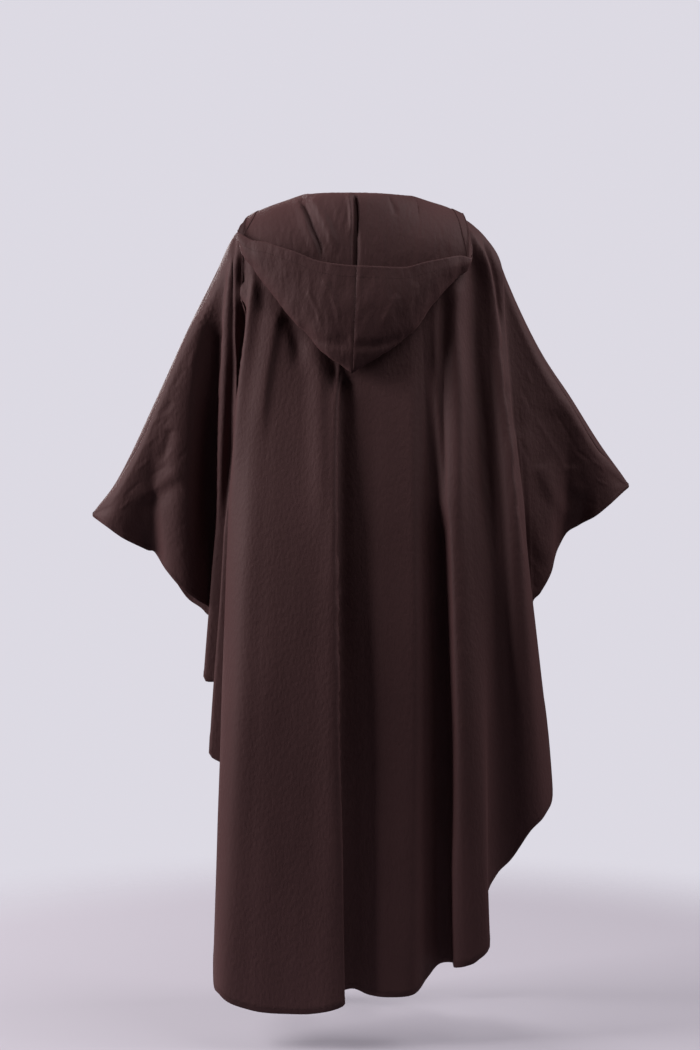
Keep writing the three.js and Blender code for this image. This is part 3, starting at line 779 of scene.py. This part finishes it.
def shell(name, grid, normals, walls):
    """Closed thin cloth with rounded edges on a grid of points, of one wall at each point."""
    columns, rows = grid.shape[:2]
    half = normals * (walls / 2)[..., None]
    border = [(c, 0) for c in range(columns)]
    border += [(columns - 1, r) for r in range(1, rows)]
    border += [(c, rows - 1) for c in range(columns - 2, -1, -1)]
    border += [(0, r) for r in range(rows - 2, 0, -1)]
    # A ring of points half a wall beyond the border rounds the edge.
    ring = []
    for c, r in border:
        inside = grid[min(max(c, 1), columns - 2), min(max(r, 1), rows - 2)]
        away = grid[c, r] - inside
        away = away / max(np.linalg.norm(away), LEAST_LENGTH)
        ring.append(grid[c, r] + away * walls[c, r] / 2)
    vertices = np.vstack([
        (grid + half).reshape(-1, 3), (grid - half).reshape(-1, 3), np.array(ring),
    ])
    number = np.arange(columns * rows).reshape(columns, rows)
    outer = np.stack([number[:-1, :-1], number[:-1, 1:], number[1:, 1:], number[1:, :-1]], axis=-1)
    outer = outer.reshape(-1, 4)
    inner = outer[:, ::-1] + columns * rows
    edge = np.array([number[c, r] for c, r in border])
    middle = 2 * columns * rows + np.arange(len(border))
    upper = np.stack([edge, np.roll(edge, -1), np.roll(middle, -1), middle], axis=-1)
    under = edge + columns * rows
    lower = np.stack([middle, np.roll(middle, -1), np.roll(under, -1), under], axis=-1)
    faces = np.vstack([outer, inner, upper, lower])
    a, b, c, d = (vertices[outer[:, i]] for i in range(4))
    facing = np.einsum("ij,ij->i", np.cross(c - a, d - b), normals[:-1, :-1].reshape(-1, 3)).sum()
    if facing < 0:
        faces = faces[:, ::-1]
    made = mesh_object(name, vertices, faces.tolist())
    made.data.shade_smooth()
    return made


def panel_walls(grid):
    """Wall of a panel at each point: doubled in the hem."""
    in_hem = np.clip((HEM_WIDTH - lengths_to_end(grid)) / HEM_STEP + 0.5, 0, 1)
    return CLOTH_WALL + (HEM_WALL - CLOTH_WALL) * in_hem


def lengths_to_end(grid):
    """Length along each column from each of its points to its last one."""
    steps = np.linalg.norm(np.diff(grid, axis=1), axis=2)
    return np.hstack([np.cumsum(steps[:, ::-1], axis=1)[:, ::-1], np.zeros((len(grid), 1))])


def seam_dip(grid):
    """How far the cloth sinks at the shoulder seam, by the distance from its edge."""
    along = lengths_to_end(grid[:, ::-1])[:, ::-1]
    return -SEAM_DIP * np.exp(-((along / SEAM_DIP_WIDTH) ** 2))


def distances(line):
    """Length along a line from its first point to each of its points."""
    steps = np.linalg.norm(np.diff(line, axis=0), axis=1)
    return np.concatenate(([0], np.cumsum(steps)))


def sampled(line, along, at):
    """Points of a line at given distances, from the distances of its own points."""
    return np.stack([np.interp(at, along, line[:, i]) for i in range(3)], axis=-1)


def line_at(grid, normals, from_end, off):
    """Line across a grid at a length from the end of its columns, moved off it."""
    to_end = lengths_to_end(grid)
    line = []
    facing = []
    for column, directions, lengths in zip(grid, normals, to_end):
        nearest = directions[np.argmin(np.abs(lengths - from_end))]
        facing.append(nearest)
        line.append(sampled(column, -lengths, -from_end) + nearest * off)
    return np.array(line), np.array(facing)


def stitches(name, line, facing):
    """Row of small stitches along a line on cloth, each a low roof of thread."""
    along = distances(line)
    starts = np.arange(STITCH_PITCH, along[-1] - STITCH_PITCH, STITCH_PITCH)
    first = sampled(line, along, starts)
    last = sampled(line, along, starts + STITCH_LENGTH)
    up = unit(sampled(facing, along, starts))
    across = unit(np.cross(last - first, up)) * STITCH_WIDTH / 2
    slope = (last - first) * STITCH_SLOPE_SHARE
    corners = [
        first - across, first + across, last + across, last - across,
        first + slope + up * STITCH_HEIGHT, last - slope + up * STITCH_HEIGHT,
    ]
    vertices = np.stack(corners, axis=1).reshape(-1, 3)
    roof = [(0, 1, 2, 3), (1, 0, 4), (3, 2, 5), (0, 3, 5, 4), (2, 1, 4, 5)]
    faces = [
        tuple(len(corners) * i + corner for corner in face)
        for i in range(len(starts))
        for face in roof
    ]
    return mesh_object(name, vertices, faces)


def make_panel(name, panel, creases, waves):
    """One panel of the poncho with its creases, seam edge and hem, and its hem's stitches."""
    grid, below = panel_grid(panel)
    normals = grid_normals(grid, panel["side"])
    settle = smooth_step(np.maximum(below, 0) / CREASES_SETTLE)
    lift = creases_lift(grid, creases) + unevenness(grid, **waves)
    grid = grid + normals * (lift * settle + seam_dip(grid))[..., None]
    normals = grid_normals(grid, panel["side"])
    cloth = shell(f"{name}_cloth", grid, normals, panel_walls(grid))
    line, facing = line_at(grid, normals, HEM_STITCH_INSET, HEM_WALL / 2)
    return cloth, stitches(f"{name}_hem_stitches", line, facing)


def place_over(panel, x, below):
    """Place across a panel of the line that reaches x at a distance below its top edge."""
    low, high = 0.0, panel["folds"]["place"][-1]
    for _ in range(HALVINGS):
        middle = (low + high) / 2
        if panel_points(panel, middle, below)[..., 0] < x:
            low = middle
        else:
            high = middle
    return np.interp(low, panel["folds"]["place"], panel["folds"]["top"])


def points_off(panel, marks):
    """Points off a panel, by their place along the top edge, distance below it and lift."""
    place = np.interp(marks[:, 0], panel["folds"]["top"], panel["folds"]["place"])
    below = np.maximum(marks[:, 1], 0)
    off = outward(panel, place, np.maximum(below, NUDGE))
    return panel_points(panel, place, below) + off * marks[:, 2:]


def neck_roll(panel, degrees):
    """Roll of the hood over the neck seam, from the seam to the layer above it."""
    seam = top_edge(panel, degrees)
    inward = np.array([-seam[0] / NECK_HALF_WIDTH ** 2, -seam[1] / panel["neck_depth"] ** 2, 0])
    inward = inward / np.linalg.norm(inward)
    angle = math.pi * np.arange(HOOD_ROLL_ROWS) / HOOD_ROLL_ROWS
    made = seam + inward * (SEAM_GAP + NECK_ROLL_RADIUS * np.sin(angle))[:, None]
    made[:, 2] += NECK_ROLL_RADIUS * (1 - np.cos(angle))
    return made


def hood_marks(panel, degrees, station):
    """Marks that the hood passes at one place: top edge, distance below it and lift off it."""
    fold_drop = station["fold_drop"]
    edge_drop = station["edge_drop"]
    puff = station["puff"]
    full = HOOD_CLEARANCE + puff
    neck = np.array([degrees, 0, 2 * NECK_ROLL_RADIUS])
    fold_top = place_over(panel, station["fold_x"], fold_drop)
    edge_top = place_over(panel, station["edge_x"], edge_drop)
    fold = np.array([fold_top, fold_drop, HOOD_CLEARANCE + puff * TIP_LIFT_SHARE])
    edge = np.array([edge_top, edge_drop, full])
    reach = math.hypot(fold[0] - neck[0], fold_drop)
    rise = math.hypot(fold[0] - edge[0], fold_drop - edge_drop)
    settled = min(ROLL_SETTLES / reach, MOST_SETTLE_SHARE)
    back = min(BEND_SHARE * puff / reach, MOST_FALL_BEND)
    forth = min(BEND_SHARE * puff / max(rise, puff), MOST_RISE_BEND)

    def between(start, end, share, lift):
        mark = start + (end - start) * share
        mark[2] = lift
        return mark

    return np.array([
        neck,
        between(neck, fold, settled, HOOD_CLEARANCE),
        between(neck, fold, (settled + 1 - back) / 2, HOOD_CLEARANCE),
        between(neck, fold, 1 - back, HOOD_CLEARANCE),
        fold,
        between(fold, edge, forth, HOOD_CLEARANCE + puff * LOWER_LIFT_SHARE),
        between(fold, edge, (forth + 1) / 2, HOOD_CLEARANCE + puff * BELLY_SHARE),
        edge,
    ])


def curve_through(marks, samples):
    """Centripetal Catmull-Rom curve through marks."""
    ends = np.vstack([2 * marks[0] - marks[1], marks, 2 * marks[-1] - marks[-2]])
    at = np.linspace(0, len(marks) - 1, samples)
    start = np.minimum(at.astype(int), len(marks) - 2)
    share = (at - start)[:, None]
    p0, p1, p2, p3 = (ends[start + i] for i in range(4))
    t0, t1, t2 = (
        np.maximum(np.linalg.norm(b - a, axis=1), LEAST_STEP)[:, None] ** 0.5
        for a, b in ((p0, p1), (p1, p2), (p2, p3))
    )
    slope1 = ((p1 - p0) / t0 - (p2 - p0) / (t0 + t1) + (p2 - p1) / t1) * t1
    slope2 = ((p2 - p1) / t1 - (p3 - p1) / (t1 + t2) + (p3 - p2) / t2) * t1
    return hermite(p1, p2, slope1, slope2, share)


def hood_column(rows, hand, around):
    """Column of the hood at one place round the neck seam: its roll, fall and edge."""
    panel = BACK if around <= NECK_ENDS else FRONT
    degrees = hand * (around if around <= NECK_ENDS else 2 * NECK_ENDS - around)
    station = {column: float(smooth(rows, "around", column, around)) for column in HOOD}
    line = points_off(panel, curve_through(hood_marks(panel, degrees, station), CURVE_SAMPLES))
    along = distances(line)
    whole = along[-1]
    band = min(FACING_WIDTH, whole * (1 - LEAST_PLAIN_SHARE))
    at = np.concatenate([
        np.linspace(0, whole - band, HOOD_FALL_ROWS, endpoint=False),
        np.linspace(whole - band, whole, FACING_ROWS + 1),
    ])
    return np.vstack([neck_roll(panel, degrees), sampled(line, along, at)])


def hood_places():
    """Degrees round the neck seam of the columns of half the hood."""
    return np.linspace(0, 2 * NECK_ENDS, HOOD_COLUMNS_A_HALF)


def eased_columns(grid):
    """The hood's columns behind the shoulders, evened out over the folds that they lie on."""
    share = smooth_step((EASED_UP_TO - hood_places()) / EASING_FADE)[1:-1, None, None]
    for _ in range(HOOD_EASINGS):
        eased = (grid[:-2] + 2 * grid[1:-1] + grid[2:]) / 4
        grid[1:-1] += (eased - grid[1:-1]) * share
    return grid


def seam_normals(normals):
    """Outward directions of half a hood, square to its centre seams at both ends."""
    normals[[0, -1], :, 0] = 0
    return unit(normals)


def centre_seam_dip(grid):
    """How far the cloth sinks beside the seam at the centre back."""
    steps = np.linalg.norm(np.diff(grid, axis=0), axis=2)
    along = np.concatenate([np.zeros((1, grid.shape[1])), np.cumsum(steps, axis=0)])
    return CENTRE_SEAM_DIP * np.exp(-((along / CENTRE_SEAM_WIDTH) ** 2))


def make_hood(side, rows, hand):
    """One half of the hood and the band inside its face edge."""
    grid = np.array([hood_column(rows, hand, around) for around in hood_places()])
    grid = eased_columns(grid)
    grid[[0, -1], :, 0] += hand * SEAM_GAP / 2
    normals = seam_normals(grid_normals(grid, -hand))
    row = np.arange(grid.shape[1])
    fold_row = HOOD_ROLL_ROWS + HOOD_FALL_ROWS * FALL_SHARE
    rising = smooth_step((row - fold_row) / FOLD_BLEND_ROWS + 0.5)
    falling = (1 - rising) * smooth_step((row - HOOD_ROLL_ROWS) / HOOD_ROLL_ROWS)
    behind = smooth_step((NECK_ENDS - hood_places()) / SHOULDER_BLEND)[:, None]
    lift = creases_lift(grid, HOOD_FALL_CREASES) * falling * behind
    lift -= creases_lift(grid, HOOD_RISE_CREASES) * rising * behind
    lift -= unevenness(grid, **HOOD_WAVES) * rising * behind
    lift -= unevenness(grid, **HOOD_CRINKLES) * behind
    lift += centre_seam_dip(grid) * rising
    grid = grid + normals * lift[..., None]
    normals = seam_normals(grid_normals(grid, -hand))
    walls = np.full(grid.shape[:2], CLOTH_WALL)
    half = shell(f"hood_{side}_cloth", grid, normals, walls)
    band = slice(-FACING_ROWS - 1, None)
    inside = grid[:, band] + normals[:, band] * (CLOTH_WALL + SEAM_GAP)
    facing = shell(f"hood_facing_{side}_cloth", inside, normals[:, band], walls[:, band])
    line, outside = line_at(grid, -normals, HOOD_STITCH_INSET, CLOTH_WALL / 2)
    sewn = hood_places() < STITCHED_UP_TO
    return half, facing, stitches(f"hood_{side}_stitches", line[sewn], outside[sewn])


def new_material(name, look):
    """Material with its shader's inputs set: the material, its node tree and its shader."""
    material = bpy.data.materials.new(name)
    material.use_nodes = True
    shader = material.node_tree.nodes["Principled BSDF"]
    for socket, value in look.items():
        shader.inputs[socket].default_value = value
    return material, material.node_tree, shader


def crepe_material():
    """Dark brown crepe: satin to matt, with fine crinkles and a pebbled weave."""
    material, tree, shader = new_material("crepe", CREPE_SHINE)
    coordinates = tree.nodes.new("ShaderNodeTexCoord")

    def noise_texture(scale, stretch, detail):
        mapping = tree.nodes.new("ShaderNodeMapping")
        mapping.inputs["Scale"].default_value = stretch
        texture = tree.nodes.new("ShaderNodeTexNoise")
        texture.inputs["Scale"].default_value = scale
        texture.inputs["Detail"].default_value = detail
        tree.links.new(coordinates.outputs["Object"], mapping.inputs["Vector"])
        tree.links.new(mapping.outputs["Vector"], texture.inputs["Vector"])
        return texture

    def bump(texture, strength, distance, under=None):
        node = tree.nodes.new("ShaderNodeBump")
        node.inputs["Strength"].default_value = strength
        node.inputs["Distance"].default_value = distance
        tree.links.new(texture.outputs["Fac"], node.inputs["Height"])
        if under is not None:
            tree.links.new(under.outputs["Normal"], node.inputs["Normal"])
        return node

    colour = tree.nodes.new("ShaderNodeValToRGB")
    colour.color_ramp.elements[0].color = CREPE_DARK
    colour.color_ramp.elements[1].color = CREPE_LIGHT
    mottle = noise_texture(**MOTTLE)
    tree.links.new(mottle.outputs["Fac"], colour.inputs["Fac"])
    tree.links.new(colour.outputs["Color"], shader.inputs["Base Color"])
    pebble = bump(noise_texture(**PEBBLE), **PEBBLE_BUMP)
    crinkle = bump(noise_texture(**CRINKLE), **CRINKLE_BUMP, under=pebble)
    tree.links.new(crinkle.outputs["Normal"], shader.inputs["Normal"])
    return material


def floor_material():
    """Plain pale matt floor, which fades out towards its rim."""
    material, tree, shader = new_material("floor", FLOOR_LOOK)
    path = tree.nodes.new("ShaderNodeLightPath")
    tree.links.new(path.outputs["Is Camera Ray"], shader.inputs["Emission Strength"])
    coordinates = tree.nodes.new("ShaderNodeTexCoord")
    distance = tree.nodes.new("ShaderNodeVectorMath")
    distance.operation = "LENGTH"
    fade = tree.nodes.new("ShaderNodeMapRange")
    fade.interpolation_type = "SMOOTHSTEP"
    fade.inputs["From Min"].default_value = FLOOR_RADIUS
    fade.inputs["From Max"].default_value = FLOOR_RADIUS * FLOOR_SOLID_SHARE
    tree.links.new(coordinates.outputs["Object"], distance.inputs[0])
    tree.links.new(distance.outputs["Value"], fade.inputs["Value"])
    tree.links.new(fade.outputs["Result"], shader.inputs["Alpha"])
    return material


def make_stage():
    """Plain pale floor under the poncho."""
    turns = np.linspace(0, 2 * math.pi, FLOOR_CORNERS, endpoint=False)
    rim = [(FLOOR_RADIUS * math.cos(turn), FLOOR_RADIUS * math.sin(turn), 0) for turn in turns]
    mesh = bpy.data.meshes.new("floor")
    mesh.from_pydata(rim, [], [tuple(range(FLOOR_CORNERS))])
    mesh.materials.append(floor_material())
    floor = add_object("floor", mesh)
    floor.location.z = FLOOR_Z


def area_light(name, place, target, size, power, colour):
    """Soft square lamp that points at a target."""
    lamp = bpy.data.lights.new(name, "AREA")
    lamp.size = size
    lamp.energy = power
    lamp.color = colour
    made = add_object(name, lamp)
    made.location = place
    made.rotation_mode = "QUATERNION"
    made.rotation_quaternion = (Vector(target) - Vector(place)).to_track_quat("-Z", "Y")


def make_light():
    """Soft studio light: a lamp on each side, one above, one in front, and a pale backdrop."""
    world = bpy.data.worlds.new("studio")
    bpy.context.scene.world = world
    world.use_nodes = True
    tree = world.node_tree
    surround = tree.nodes["Background"]
    surround.inputs["Color"].default_value = SURROUND_COLOUR
    surround.inputs["Strength"].default_value = SURROUND_STRENGTH
    backdrop = tree.nodes.new("ShaderNodeBackground")
    backdrop.inputs["Color"].default_value = BACKDROP_COLOUR
    path = tree.nodes.new("ShaderNodeLightPath")
    mix = tree.nodes.new("ShaderNodeMixShader")
    tree.links.new(path.outputs["Is Camera Ray"], mix.inputs["Fac"])
    tree.links.new(surround.outputs["Background"], mix.inputs[1])
    tree.links.new(backdrop.outputs["Background"], mix.inputs[2])
    tree.links.new(mix.outputs["Shader"], tree.nodes["World Output"].inputs["Surface"])
    area_light(
        "left", place=(-3.0, -0.63, 0.85), target=(0, 0, -0.6),
        size=1.4, power=129, colour=(1, 0.96, 0.96),
    )
    area_light(
        "right", place=(2.7, -0.14, 1.6), target=(0, 0, -0.3),
        size=1.2, power=52, colour=(1, 0.96, 0.97),
    )
    area_light(
        "above", place=(1.1, -0.8, 1.35), target=(0, 0, -0.2),
        size=1.2, power=17, colour=(1, 0.98, 0.98),
    )
    area_light(
        "front", place=(-1.7, 2.6, 0.9), target=(0, 0.1, -0.5),
        size=1.4, power=60, colour=(1, 0.97, 0.97),
    )


def make_camera():
    """Camera of the photograph: level, behind the wearer."""
    lens = bpy.data.cameras.new("camera")
    lens.lens = CAMERA_LENS
    lens.shift_y = CAMERA_SHIFT
    camera = add_object("camera", lens)
    camera.location = CAMERA_PLACE
    camera.rotation_euler = (math.pi / 2, 0, 0)
    bpy.context.scene.camera = camera


bpy.context.scene.view_settings.view_transform = "Standard"
make_camera()
make_light()
make_stage()

crepe = crepe_material()
thread, _, _ = new_material("thread", THREAD_LOOK)
back_creases = BACK_CREASES + fine_wrinkles(0)
front_creases = FRONT_CREASES + fine_wrinkles(FRONT_WRINKLES_LOWER)
back, back_stitches = make_panel("back", BACK, back_creases, BACK_WAVES)
front, front_stitches = make_panel("front", FRONT, front_creases, FRONT_WAVES)
hood_left, facing_left, left_stitches = make_hood("left", HOOD_LEFT, -1)
hood_right, facing_right, right_stitches = make_hood("right", HOOD_RIGHT, 1)

PIECES = [
    (back, "back"),
    (front, "front"),
    (hood_left, "hood_left"),
    (hood_right, "hood_right"),
    (facing_left, "hood_facing_left"),
    (facing_right, "hood_facing_right"),
]
for piece, node in PIECES:
    piece.data.materials.append(crepe)
    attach(piece, "root")
    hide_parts(node)
for piece in (back_stitches, front_stitches, left_stitches, right_stitches):
    piece.data.materials.append(thread)
    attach(piece, "root")
